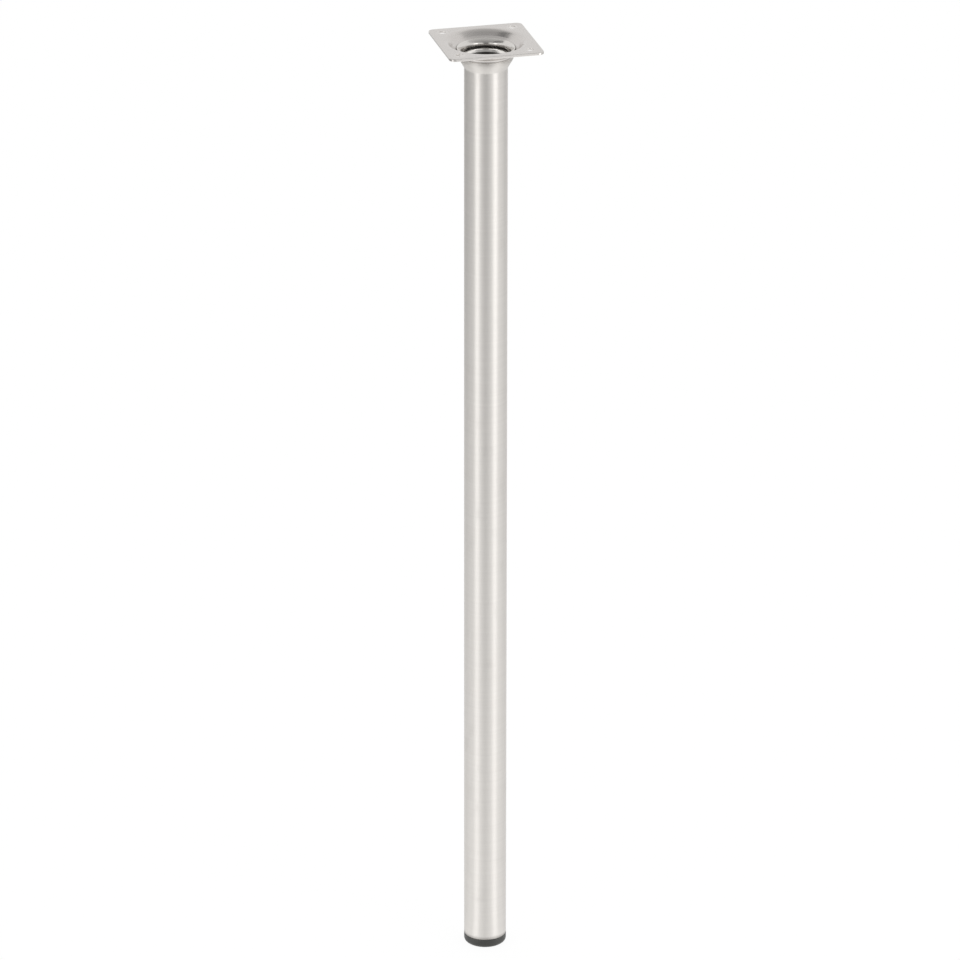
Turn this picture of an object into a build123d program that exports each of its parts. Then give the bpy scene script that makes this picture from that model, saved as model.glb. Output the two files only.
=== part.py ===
from build123d import *
import os
from math import cos, radians, tan

# Fixed furniture leg: a round steel tube, a pressed plate that is screwed under the furniture,
# and a plastic foot cap pushed into the lower end. Millimetres, +Z up, the origin under the
# middle of the foot. The plate's edges run along X and Y.

# Whole leg
leg_height = 720.0

# Tube
tube_diameter = 31.8
tube_wall = 1.2
tube_edge_break = 0.25

# Mounting plate, pressed from one sheet
plate_side = 70.0
plate_corner_radius = 4.5
sheet = 2.0
sheet_edge_round = 0.4
hole_pitch = 52.0
screw_hole_diameter = 5.5
screw_head_diameter = 8.5
screw_head_angle = 90.0

# Dish in the middle of the plate, its sizes on the top side of the sheet
dish_edge_diameter = 62.8
dish_rim_diameter = 56.4
dish_floor_diameter = 48.4
dish_depth = 4.0
dish_floor_slope = 30.0
dish_rim_round = 6.0
dish_corner_round = 1.2
collar_round = 3.1
collar_drop = 2.6

# Formed end of the tube: a bead under the dish's collar and a flare rolled over it
throat_diameter = 37.0
bead_fold = 0.1
bead_flat = 0.05
bead_height = 1.9
bead_round = 2.6
shoulder_slope = 60.0
shoulder_round = 2.5
flare_diameter = 42.8
seat_clearance = 0.05

# Foot cap
foot_height = 7.2
foot_edge_round = 3.2
foot_shoulder_round = 0.4
foot_floor = 3.0
stem_length = 17.0
stem_wall = 1.8
stem_gap = 1.1
stem_lead = 0.8
fin_count = 4
fin_start = 1.8
fin_pitch = 3.6
fin_tip = 0.5
fin_base = 1.7
fin_clearance = 0.05
web_thickness = 1.2
web_step = 4.0

# Worked out from the sizes above
tube_radius = tube_diameter / 2
bore_radius = tube_radius - tube_wall
slope = radians(dish_floor_slope)
collar_radius = throat_diameter / 2 + seat_clearance


def floor_top(radius):
    """Height of the dish floor's top side at a distance from the middle."""
    return leg_height - dish_depth - (dish_floor_diameter / 2 - radius) * tan(slope)


collar_bottom = floor_top(collar_radius) - collar_drop

# One pressed sheet. The section runs in along the top side, down the dish wall and down the
# sloping floor, and turns down into a short collar round the tube.
with BuildPart() as mounting_plate:
    with BuildSketch(Plane.XY.offset(leg_height)) as plate_outline:
        RectangleRounded(plate_side, plate_side, plate_corner_radius)
        Circle(dish_edge_diameter / 2, mode=Mode.SUBTRACT)
    extrude(amount=-sheet)
    plate_top = mounting_plate.faces().sort_by(Axis.Z)[-1]
    plate_bottom = mounting_plate.faces().sort_by(Axis.Z)[0]
    fillet([*plate_top.outer_wire().edges(), *plate_bottom.outer_wire().edges()], sheet_edge_round)
    with BuildSketch(Plane.XZ) as dish_section:
        with BuildLine() as dish_line:
            FilletPolyline(
                (dish_edge_diameter / 2, leg_height),
                (dish_rim_diameter / 2, leg_height),
                (dish_floor_diameter / 2, floor_top(dish_floor_diameter / 2)),
                (collar_radius, floor_top(collar_radius)),
                (collar_radius, collar_bottom),
                radius=[dish_rim_round, dish_corner_round, collar_round],
            )
            offset(amount=sheet, side=Side.LEFT)
        make_face()
        fillet(dish_section.vertices().group_by(Axis.Y)[0], sheet_edge_round)
    revolve(axis=Axis.Z)
    with Locations((0, 0, leg_height - sheet)):
        with GridLocations(hole_pitch, hole_pitch, 2, 2):
            with Locations(Rotation(180, 0, 0)):
                CounterSinkHole(
                    screw_hole_diameter / 2,
                    screw_head_diameter / 2,
                    depth=sheet,
                    counter_sink_angle=screw_head_angle,
                )
mounting_plate.part.label = "mounting_plate"

# One tube. The line follows the middle of its wall: up the straight tube, out along the
# shoulder, round the bead under the collar, up the throat and out over the dish floor.
wall_middle = tube_radius - tube_wall / 2
fold_middle = bead_fold + tube_wall / 2
throat_middle = (throat_diameter - tube_wall) / 2
bead_middle = throat_middle + 2 * fold_middle + bead_flat
flare_middle = flare_diameter / 2 - tube_wall / 2
flare_lift = (seat_clearance + tube_wall / 2) / cos(slope)
flare_bend = collar_round + seat_clearance + tube_wall / 2
bead_top = collar_bottom - seat_clearance - tube_wall / 2
bead_bottom = bead_top - bead_height
shoulder_height = (bead_middle - wall_middle) * tan(radians(shoulder_slope))
with BuildPart() as leg_tube:
    with BuildSketch(Plane.XZ) as tube_section:
        with BuildLine() as tube_line:
            FilletPolyline(
                (wall_middle, foot_height - tube_wall),
                (wall_middle, bead_bottom - shoulder_height),
                (bead_middle, bead_bottom),
                (bead_middle, bead_top),
                (throat_middle, bead_top),
                (throat_middle, floor_top(throat_middle) + flare_lift),
                (flare_middle, floor_top(flare_middle) + flare_lift),
                radius=[shoulder_round, bead_round, fold_middle, fold_middle, flare_bend],
            )
            offset(amount=tube_wall / 2, side=Side.BOTH)
        make_face()
        with Locations((wall_middle, foot_height)):
            Rectangle(2 * tube_wall, 2 * tube_wall, align=(Align.CENTER, Align.MAX), mode=Mode.SUBTRACT)
        chamfer(tube_section.vertices().group_by(Axis.Y)[0], tube_edge_break)
    revolve(axis=Axis.Z)
leg_tube.part.label = "leg_tube"

# One moulding: the foot, and a hollow stem with fins that grip the inside of the tube. Two
# webs cross inside the stem and keep it round.
stem_radius = bore_radius - stem_gap
cavity_radius = stem_radius - stem_wall
fin_radius = bore_radius - fin_clearance
stem_top = foot_height + stem_length
with BuildPart() as foot_cap:
    with BuildSketch(Plane.XZ) as cap_section:
        Rectangle(tube_radius, foot_height, align=Align.MIN)
        fillet(cap_section.vertices().group_by(Axis.X)[-1].sort_by(Axis.Y)[0], foot_edge_round)
        fillet(cap_section.vertices().group_by(Axis.X)[-1].sort_by(Axis.Y)[-1], foot_shoulder_round)
        with Locations((0, foot_height)):
            Rectangle(stem_radius, stem_length, align=Align.MIN)
        chamfer(cap_section.vertices().group_by(Axis.Y)[-1].sort_by(Axis.X)[-1], stem_lead)
        for index in range(fin_count):
            fin_bottom = foot_height + fin_start + index * fin_pitch
            with BuildLine():
                Polyline(
                    (stem_radius - fin_tip, fin_bottom),
                    (fin_radius, fin_bottom),
                    (fin_radius, fin_bottom + fin_tip),
                    (stem_radius, fin_bottom + fin_base),
                    (stem_radius - fin_tip, fin_bottom + fin_base),
                    close=True,
                )
            make_face()
        with Locations((0, foot_floor)):
            Rectangle(cavity_radius, stem_top, align=Align.MIN, mode=Mode.SUBTRACT)
    revolve(axis=Axis.Z)
    with BuildSketch(Plane.XY.offset(foot_floor)) as webs:
        Rectangle(2 * cavity_radius + stem_wall, web_thickness)
        Rectangle(web_thickness, 2 * cavity_radius + stem_wall)
    extrude(amount=stem_top - web_step - foot_floor)
foot_cap.part.label = "foot_cap"

os.makedirs("parts", exist_ok=True)
export_step(mounting_plate.part, "parts/mounting_plate.step")
export_step(leg_tube.part, "parts/leg_tube.step")
export_step(foot_cap.part, "parts/foot_cap.step")
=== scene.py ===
from math import cos, radians, sin

import bmesh
import bpy
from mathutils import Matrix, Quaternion, Vector


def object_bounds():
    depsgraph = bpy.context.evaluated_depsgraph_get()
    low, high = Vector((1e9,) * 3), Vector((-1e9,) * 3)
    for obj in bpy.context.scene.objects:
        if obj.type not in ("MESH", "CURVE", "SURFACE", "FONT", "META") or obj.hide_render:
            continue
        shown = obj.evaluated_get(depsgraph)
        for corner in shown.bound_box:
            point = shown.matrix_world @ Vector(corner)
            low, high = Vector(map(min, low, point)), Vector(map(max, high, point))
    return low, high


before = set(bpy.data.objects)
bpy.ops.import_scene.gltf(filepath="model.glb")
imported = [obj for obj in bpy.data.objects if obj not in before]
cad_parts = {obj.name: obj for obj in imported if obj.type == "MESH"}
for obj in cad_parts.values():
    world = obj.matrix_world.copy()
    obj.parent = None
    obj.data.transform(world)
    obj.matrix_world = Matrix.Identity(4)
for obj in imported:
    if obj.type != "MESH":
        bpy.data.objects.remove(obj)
cad_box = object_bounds()
leg_height = cad_box[1].z


# The view. The photograph looks down on the leg from about 4.7 m away through a long lens,
# and the plate is turned a little, so that its right side is further away.
camera_azimuth = radians(-14.2)
camera_distance = 4.69
camera_above_plate = 1.588
camera_pitch = radians(22.37)
camera_roll = radians(0.064)
camera_reach = 60
sensor_width = 36.0
focal_length = 257.1
picture_width = 960
leg_right_of_middle = 5.5


def towards(turn):
    """The level direction that is turned from the camera's side by an angle in degrees."""
    azimuth = camera_azimuth + radians(turn)
    return Vector((sin(azimuth), -cos(azimuth), 0))


towards_camera = towards(0)
right_of_camera = towards(90)
camera_data = bpy.data.cameras.new("camera")
camera_data.lens = focal_length
camera_data.sensor_width = sensor_width
camera_data.shift_x = -leg_right_of_middle / picture_width
camera_data.clip_end = camera_reach
camera = bpy.data.objects.new("camera", camera_data)
camera.location = towards_camera * camera_distance + Vector((0, 0, leg_height + camera_above_plate))
camera.rotation_mode = "QUATERNION"
level_view = Quaternion((0, 0, 1), camera_azimuth) @ Quaternion((1, 0, 0), radians(90) - camera_pitch)
camera.rotation_quaternion = level_view @ Quaternion((0, 0, 1), camera_roll)
bpy.context.scene.collection.objects.link(camera)
bpy.context.scene.camera = camera
bpy.context.scene.view_settings.view_transform = "Standard"


# The floor: a round sheet of matt white paper, laid just under the foot so that the two faces
# don't share a plane. To the camera most of its white is a glow, and metal sees it bright
# round the foot and greyer further out, with a bright streak towards each softbox.
floor_radius = 30.0
floor_segments = 96
floor_drop = 0.0002
floor_colour = (0.82, 0.82, 0.82, 1)
floor_white = (1.05, 1.05, 1.05, 1)
floor_glow = 0.9

# How bright metal sees it near the foot and far out, and the distances over which it changes
paper_near = 1.18
paper_far = 0.92
paper_fade = (0.8, 2.4)

# How much darker metal sees it on each side. A span is where a shade sets in and where it is
# full, as the cosine of the angle from that side.
camera_shade = 0.42
camera_shade_span = (0.82, 0.97)
left_shade = 0.65
left_shade_span = (0.3, 0.8)
right_shade = 0.3
right_shade_span = (0.4, 0.8)
right_back_span = (0.0, 0.5)
back_shade = 0.2
back_shade_span = (-0.1, 0.6)
streak_level = 1.46
streak_span = (0.95, 0.995)
softbox_azimuths = (-45, 51)


# Materials are written as sums. A Wire is one output of a node, and arithmetic on it adds the
# Math nodes; node() adds any other node, its settings first and then its sockets.
class Wire:
    def __init__(self, tree, socket=None):
        self.tree = tree
        self.socket = socket

    def node(self, kind, sockets=None, output=0, **settings):
        made = self.tree.nodes.new(kind)
        for name, value in settings.items():
            setattr(made, name, value)
        for name, value in (sockets or {}).items():
            if isinstance(value, Wire):
                self.tree.links.new(value.socket, made.inputs[name])
            else:
                made.inputs[name].default_value = value
        return Wire(self.tree, made.outputs[output] if made.outputs else None)

    def maths(self, operation, first, second):
        return self.node("ShaderNodeMath", {0: first, 1: second}, operation=operation)

    def __add__(self, other):
        return self.maths("ADD", self, other)

    def __sub__(self, other):
        return self.maths("SUBTRACT", self, other)

    def __rsub__(self, other):
        return self.maths("SUBTRACT", other, self)

    def __mul__(self, other):
        return self.maths("MULTIPLY", self, other)

    def __truediv__(self, other):
        return self.maths("DIVIDE", self, other)

    def __pow__(self, other):
        return self.maths("POWER", self, other)

    def __neg__(self):
        return self.maths("SUBTRACT", 0.0, self)

    __radd__ = __add__
    __rmul__ = __mul__

    def absolute(self):
        return self.maths("ABSOLUTE", self, 0.0)

    def larger(self, other):
        return self.maths("MAXIMUM", self, other)

    def clamped(self, low, high):
        return self.maths("MINIMUM", self.larger(low), high)

    def step(self, low, high):
        """0 below low, 1 above high and a smooth change between them."""
        sockets = {"Value": self, "From Min": low, "From Max": high, "To Min": 0.0, "To Max": 1.0}
        return self.node("ShaderNodeMapRange", sockets, interpolation_type="SMOOTHSTEP")

    def dot(self, vector):
        return self.node("ShaderNodeVectorMath", {0: self, 1: vector}, output=1, operation="DOT_PRODUCT")

    def length(self):
        return self.node("ShaderNodeVectorMath", {0: self}, output=1, operation="LENGTH")

    def mixed(self, first, second):
        """The first colour where this factor is 0 and the second where it is 1."""
        first, second = (hue if isinstance(hue, Wire) else (*hue, 1) for hue in (first, second))
        sockets = {"Factor": self, 6: first, 7: second}
        return self.node("ShaderNodeMix", sockets, output=2, data_type="RGBA")


floor_mesh = bpy.data.meshes.new("floor")
shape = bmesh.new()
bmesh.ops.create_circle(shape, cap_ends=True, segments=floor_segments, radius=floor_radius)
bmesh.ops.translate(shape, vec=(0, 0, -floor_drop), verts=shape.verts)
shape.to_mesh(floor_mesh)
shape.free()
floor = bpy.data.objects.new("floor", floor_mesh)
bpy.context.scene.collection.objects.link(floor)

floor_paint = bpy.data.materials.new("floor_paint")
floor_paint.use_nodes = True
floor_paint.node_tree.nodes.clear()
start = Wire(floor_paint.node_tree)
camera_ray = start.node("ShaderNodeLightPath", output=0)
glossy_ray = start.node("ShaderNodeLightPath", output=3)
place = start.node("ShaderNodeTexCoord", output=3)
reach = place.length()
ahead = place.dot(towards_camera) / reach
aside = place.dot(right_of_camera) / reach
shade = ahead.step(*camera_shade_span) * camera_shade + (-aside).step(*left_shade_span) * left_shade
right_back = aside.step(*right_shade_span) * (-ahead).step(*right_back_span)
shade = shade + right_back * right_shade
near = paper_near - (-ahead).step(*back_shade_span) * back_shade
paper = near + reach.step(*paper_fade) * (paper_far - shade - near)
streaks = sum((place.dot(towards(turn)) / reach).step(*streak_span) for turn in softbox_azimuths)
mirrored = paper + streaks * (streak_level - paper)
matt = start.node("ShaderNodeBsdfDiffuse", {"Color": floor_colour})
white = start.node("ShaderNodeEmission", {"Color": floor_white, "Strength": 1.0})
pale = start.node("ShaderNodeEmission", {"Color": mirrored, "Strength": 1.0})
seen = start.node("ShaderNodeMixShader", {0: camera_ray * floor_glow, 1: matt, 2: white})
seen = start.node("ShaderNodeMixShader", {0: glossy_ray, 1: seen, 2: pale})
start.node("ShaderNodeOutputMaterial", {"Surface": seen})
floor_mesh.materials.append(floor_paint)


# The room: pale walls that are brighter in front, a grey panel overhead that is darker at its
# left end, and the dark gap where the camera stands. The camera itself sees plain white. Spans
# are cosines again, from the camera's side, from the panel's middle and from the left.
back_level = 0.95
front_level = 1.12
front_span = (0.0, 0.7)
gap_level = 0.2
gap_span = (0.955, 0.99)
panel_level = 0.54
panel_tilt = 0.26
panel_lean = 0.25
panel_span = (0.62, 0.68)
panel_left_shade = 0.55
panel_left_span = (0.35, 0.5)
panel_middle = (towards_camera * panel_lean + Vector((0, 0, 1))).normalized()
least_square = 0.0001

world = bpy.data.worlds.new("studio")
bpy.context.scene.world = world
world.use_nodes = True
world.node_tree.nodes.clear()
start = Wire(world.node_tree)
camera_ray = start.node("ShaderNodeLightPath", output=0)
direction = start.node("ShaderNodeTexCoord", output=0)
rise = direction.dot((0, 0, 1))
ahead = direction.dot(towards_camera)
aside = direction.dot(right_of_camera)

# How far a direction's level part faces the camera's side, with no division by zero overhead
level_part = (1.0 - rise * rise).clamped(least_square, 1.0) ** 0.5
facing = ahead / level_part

walls = back_level + facing.step(*front_span) * (front_level - back_level)
walls = walls + facing.step(*gap_span) * (gap_level - walls)
panel = panel_level - ahead * panel_tilt
panel = panel * (1.0 - (-aside).step(*panel_left_span) * panel_left_shade)
room = walls + direction.dot(panel_middle).step(*panel_span) * (panel - walls)
level = room + camera_ray * (1.0 - room)
backdrop = start.node("ShaderNodeBackground", {"Color": level, "Strength": 1.0})
start.node("ShaderNodeOutputWorld", {"Surface": backdrop})


# A softbox stands on each side of the camera and draws the bright line down each side of
# the tube.
softbox_sizes = ((0.75, 1.7), (0.8, 1.7))
softbox_powers = (3.5, 4.6)
softbox_distance = 2.2
softbox_height = 0.85

softboxes = zip(("left", "right"), softbox_azimuths, softbox_sizes, softbox_powers)
for side, turn, size, power in softboxes:
    lamp_data = bpy.data.lights.new(f"softbox_{side}", "AREA")
    lamp_data.shape = "RECTANGLE"
    lamp_data.size, lamp_data.size_y = size
    lamp_data.energy = power
    lamp = bpy.data.objects.new(f"softbox_{side}", lamp_data)
    lamp.location = towards(turn) * softbox_distance + Vector((0, 0, softbox_height))
    lamp.rotation_mode = "QUATERNION"
    lamp.rotation_quaternion = towards(turn).to_track_quat("Z", "Y")
    lamp.visible_camera = False
    bpy.context.scene.collection.objects.link(lamp)


# The tube: drawn steel with a satin plating, its end swaged out into a bead and rolled over
# the plate. It is brushed round and round, so its scratches lie level and its reflections run
# up and down. The bore below the rolled end is bare steel painted near black, as painted
# shade deep inside the tube.
tube_dark = (0.60, 0.577, 0.55)
tube_light = (0.765, 0.742, 0.712)
tube_roughness = 0.35
tube_bump = 0.35
scratch_depth = 0.00003
brushing = {"Metallic": 1.0, "Anisotropic": 0.8, "Anisotropic Rotation": 0.25}
# Bare steel in the bore, painted near black as painted shade deep inside the tube
bore_shade_dark = (0.03, 0.027, 0.025)
bore_shade_light = (0.09, 0.083, 0.078)
worked_colour = (0.88, 0.855, 0.82)
worked_polish = 0.24
bead_roughening = 0.16

# The middle of the wall: straight up the bore, then out along the shoulder to the bead
shoulder_start = leg_height - 0.01942
shoulder_slope = 0.577
wall_radii = (0.0153, 0.01935)
wall_blend = 0.0001

# Heights over which the worked steel, the throat and the bead set in
worked_span = (leg_height - 0.0146, leg_height - 0.0138)
throat_span = (leg_height - 0.0108, leg_height - 0.0105)
bead_span = (leg_height - 0.017, leg_height - 0.013)

# Dirt drawn into the joint at the cap, and how far its upper edge wanders
cap_joint = 0.0072
dirt_colour = (0.25, 0.235, 0.22)
dirt_cover = 0.55
dirt_height = 0.0016
dirt_wander = 0.003


def surface(name, constants):
    """A material with a Principled shader: the material, its shader and object coordinates."""
    material = bpy.data.materials.new(name)
    material.use_nodes = True
    shader = material.node_tree.nodes["Principled BSDF"]
    for socket, value in constants.items():
        shader.inputs[socket].default_value = value
    return material, shader, Wire(material.node_tree).node("ShaderNodeTexCoord", output=3)


def apply_finish(shader, colour, roughness, relief, strength, depth):
    """Gives a shader its colour, its roughness and the relief of its scratches and grain."""
    bump = relief.node("ShaderNodeBump", {"Strength": strength, "Distance": depth, "Height": relief})
    for name, value in {"Base Color": colour, "Roughness": roughness, "Normal": bump}.items():
        value.tree.links.new(value.socket, shader.inputs[name])


def noise(place, grains, detail):
    """Noise with a number of grains to the metre along each axis."""
    spread = place.node("ShaderNodeMapping", {"Vector": place, "Scale": grains})
    return place.node("ShaderNodeTexNoise", {"Vector": spread, "Scale": 1.0, "Detail": detail})


def marks(place, grains, detail, start, full):
    """Separate marks, where the noise rises from one level to another."""
    return noise(place, grains, detail).step(start, full)


def from_axis(place):
    """Distance from the leg's axis."""
    level = place.node("ShaderNodeVectorMath", {0: place, 1: (1, 1, 0)}, operation="MULTIPLY")
    return level.length()


tube_steel, shader, place = surface("tube_steel", brushing)
height = place.dot((0, 0, 1))
radius = from_axis(place)

# Where on the tube: its inside, the end shaped by the rolls, the throat and the bead below it
wall_middle = (wall_radii[0] + (height - shoulder_start) * shoulder_slope).clamped(*wall_radii)
inside = (wall_middle - radius).step(-wall_blend, wall_blend)
worked = height.step(*worked_span)
throat = height.step(*throat_span)
rolled = (inside * worked + throat).clamped(0.0, 1.0)
bead = (1.0 - inside) * height.step(*bead_span) * (1.0 - throat)

# Brushing: hair-fine lines, wider bands, and single deeper scratches that run part of the way
fine = noise(place, grains=(40, 40, 5200), detail=2)
bands = noise(place, grains=(14, 14, 420), detail=3)
hairs = marks(place, grains=(55, 55, 9000), detail=1, start=0.66, full=0.74)
cloud = noise(place, grains=(18, 18, 9), detail=2)

# Handling: dull patches left by fingers, small knocks, and the dirt at the cap
fingers = marks(place, grains=(70, 70, 45), detail=3, start=0.56, full=0.72)
knocks = marks(place, grains=(330, 330, 260), detail=1, start=0.745, full=0.775)
dirt_top = cap_joint + dirt_height + noise(place, grains=(160, 160, 90), detail=3) * dirt_wander
dirt = (1.0 - height.step(cap_joint, dirt_top)) * dirt_cover

mask = (fine * 0.45 + bands * 0.35 + cloud * 0.2 - hairs * 0.12).clamped(0.0, 1.0)
colour = dirt.mixed(mask.mixed(tube_dark, tube_light), dirt_colour)
colour = (inside * worked * (1.0 - throat)).mixed(colour, worked_colour)
# The inside below the worked end takes the bore colours: painted shade deep in the tube
colour = (inside * (1.0 - worked)).mixed(colour, mask.mixed(bore_shade_dark, bore_shade_light))
roughness = tube_roughness + fine * 0.10 + cloud * 0.06 + fingers * 0.05 + dirt * 0.2
roughness = roughness - rolled * worked_polish + bead * bead_roughening
relief = fine * 0.6 + bands * 0.3 - hairs * 0.5 - knocks * 1.5
apply_finish(shader, colour, roughness, relief, tube_bump, scratch_depth)
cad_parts["leg_tube"].material_slots[0].material = tube_steel


# The mounting plate: one pressed steel sheet with a satin plating. The punch left faint rings
# in the dish, and the screw holes and the rim are rubbed a little bright. A dark line of painted
# shadow lies under the edge of the tube's flare, and the collar's lower end has painted shade.
plate_dark = (0.555, 0.53, 0.51)
plate_light = (0.68, 0.65, 0.625)
plate_roughness = 0.17
plate_bump = 0.18
plate_half = cad_box[1].x
dish_span = (0.0304, 0.0314)
ring_grains = 2600.0

# Wear, by the distance from the middle of a screw hole and from the edge of the sheet
worn_colour = (0.74, 0.715, 0.69)
worn_cover = 0.7
worn_patches = (0.35, 0.65)
hole_reach = 0.026
hole_wear_span = (0.0028, 0.0048)
rim_span = (plate_half - 0.00045, plate_half - 0.0001)

# The painted shadow in the crevice under the flare's edge, by its inner and outer edges and its height
flare_shadow_colour = (0.06, 0.054, 0.05)
flare_shadow_cover = 0.9
flare_shadow_inner = (0.0208, 0.0212)
flare_shadow_outer = (0.0214, 0.0222)
flare_shadow_heights = (leg_height - 0.007, leg_height - 0.0065)

# Painted shade on the lower end of the collar, under the dish
collar_shade_colour = (0.40, 0.385, 0.37)
collar_shade_cover = 0.8
collar_shade_span = (leg_height - 0.0094, leg_height - 0.0086)

plate_steel, shader, place = surface("plate_steel", {"Metallic": 1.0})
height = place.dot((0, 0, 1))
radius = from_axis(place)
out_x = place.dot((1, 0, 0)).absolute()
out_y = place.dot((0, 1, 0)).absolute()

# Where on the plate: the dish, the screw holes, the rim, the flare's painted shadow and the collar's
# painted shade
dish = 1.0 - radius.step(*dish_span)
from_hole = ((out_x - hole_reach) ** 2 + (out_y - hole_reach) ** 2) ** 0.5
hole_wear = (1.0 - from_hole.step(*hole_wear_span)) * worn_cover
rim = out_x.larger(out_y).step(*rim_span)
# Painted shadow in the crevice under the flare's edge
flare_shadow = radius.step(*flare_shadow_inner) * (1.0 - radius.step(*flare_shadow_outer))
flare_shadow = flare_shadow * height.step(*flare_shadow_heights) * flare_shadow_cover
# Painted shade on the collar's lower end, under the dish
collar_shade = (1.0 - height.step(*collar_shade_span)) * collar_shade_cover

# Rolled grain along the sheet, a fine orange skin, draw rings, single scratches, and the lines
# that shearing left on the edge
grain = noise(place, grains=(260, 1900, 1900), detail=4)
skin = noise(place, grains=(1500, 1500, 1500), detail=2)
cloud = noise(place, grains=(45, 45, 45), detail=3)
ring_sockets = {"W": radius * ring_grains, "Scale": 1.0, "Detail": 2.0}
rings = dish * place.node("ShaderNodeTexNoise", ring_sockets, noise_dimensions="1D")
scratches = marks(place, grains=(90, 2600, 90), detail=1, start=0.69, full=0.74)
shear = noise(place, grains=(2300, 2300, 160), detail=2)

worn = (hole_wear * cloud.step(*worn_patches) + rim * worn_cover).clamped(0.0, 1.0)
mask = grain * 0.35 + cloud * 0.4 + rings * 0.25 + (1.0 - dish) * skin * 0.25
colour = worn.mixed(mask.clamped(0.0, 1.0).mixed(plate_dark, plate_light), worn_colour)
# Painted shadow under the flare and painted shade on the collar's end darken the colour
colour = flare_shadow.mixed(collar_shade.mixed(colour, collar_shade_colour), flare_shadow_colour)
roughness = plate_roughness + grain * 0.10 + cloud * 0.08 + scratches * 0.06
roughness = roughness + flare_shadow * 0.2 + collar_shade * 0.25 - worn * 0.03
relief = grain * 0.4 + skin * 0.3 + rings * 0.4 - scratches * 0.5 + rim * shear * 1.2
apply_finish(shader, colour, roughness, relief, plate_bump, scratch_depth)
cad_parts["mounting_plate"].material_slots[0].material = plate_steel


# The foot cap: one dark plastic moulding with a fine matt skin, pushed into the tube. It is
# scuffed grey round the edge that meets the floor and dusty where the tube stands on it.
cap_dark = (0.030, 0.030, 0.027)
cap_light = (0.050, 0.050, 0.045)
cap_roughness = 0.40
cap_bump = 0.3
cap_depth = 0.00004
scuff_colour = (0.17, 0.165, 0.16)
scuff_cover = 0.7
scuff_span = (0.0004, 0.0034)
dust_colour = (0.13, 0.125, 0.115)
dust_cover = 0.5
dust_span = (0.0058, 0.0070)
dust_patches = (0.4, 0.7)

cap_plastic, shader, place = surface("cap_plastic", {})
height = place.dot((0, 0, 1))
skin = noise(place, grains=(2600, 2600, 2600), detail=3)
cloud = noise(place, grains=(120, 120, 120), detail=2)
scuffs = marks(place, grains=(140, 140, 1500), detail=3, start=0.5, full=0.66)
scuffs = scuffs * (1.0 - height.step(*scuff_span))
dust = height.step(*dust_span) * cloud.step(*dust_patches) * dust_cover
colour = (skin * 0.4 + cloud * 0.6).mixed(cap_dark, cap_light)
colour = (scuffs * scuff_cover).mixed(colour, scuff_colour)
colour = dust.mixed(colour, dust_colour)
roughness = cap_roughness + skin * 0.16 + scuffs * 0.15 + dust * 0.1
relief = skin * 0.6 - scuffs * 0.6
apply_finish(shader, colour, roughness, relief, cap_bump, cap_depth)
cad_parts["foot_cap"].material_slots[0].material = cap_plastic
